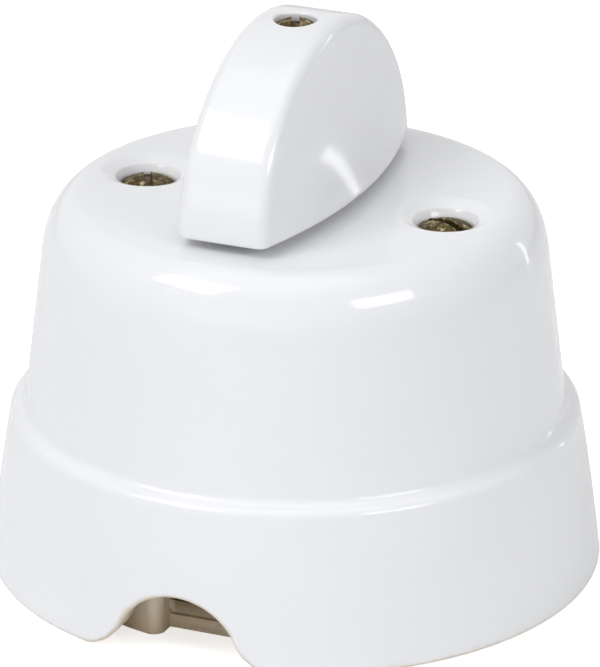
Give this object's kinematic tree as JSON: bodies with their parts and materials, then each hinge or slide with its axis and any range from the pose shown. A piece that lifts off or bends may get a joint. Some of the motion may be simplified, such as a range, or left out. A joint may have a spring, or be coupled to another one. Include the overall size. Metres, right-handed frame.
{
  "type": "ceramic two-way switch",
  "caption": "Surface-mounted rotary two-way light switch with a round stepped porcelain cover and an arched turning knob.",
  "frame": {"origin": "centre of the base's underside, in the wall plane", "axes": "+Z away from the wall along the knob's axis; the two cover screws lie on X; the cable notch is at -Y"},
  "size_m": [0.065, 0.0642, 0.0598],
  "materials": {
    "glazed_porcelain": "white gloss glaze",
    "bare_ceramic": "unglazed, matt",
    "aged_brass": "darkened, dull",
    "brass": "turned, satin",
    "plated_steel": "zinc plated",
    "moulded_resin": "dark brown moulded resin"
  },
  "bodies": {
    "housing": {"base": "bare_ceramic", "cover": "glazed_porcelain", "cover_screws": "aged_brass", "cover_pillars": "brass", "pillar_screws": "plated_steel", "mechanism_body": "moulded_resin", "bearing_plate": "plated_steel", "mechanism_screws": "plated_steel", "mechanism_nuts": "plated_steel", "detent_springs": "plated_steel", "contact_spring_common": "brass", "contact_spring_one": "brass", "contact_spring_two": "brass", "terminal_common": "brass", "terminal_one": "brass", "terminal_two": "brass", "terminal_screws": "plated_steel"},
    "turning_group": {"knob": "glazed_porcelain", "knob_screw": "aged_brass", "knob_washer": "aged_brass", "spindle": "brass", "thrust_washer": "brass", "rotor": "moulded_resin", "contact_ring": "brass", "detent_cam": "plated_steel", "retaining_clip": "plated_steel"}
  },
  "joints": [
    {"name": "knob_turn", "type": "hinge", "parent": "housing", "child": "turning_group", "pos_m": [0, 0, 0.0417], "axis": [0, 0, 1], "continuous": true, "deforming": ["detent_springs"]}
  ]
}
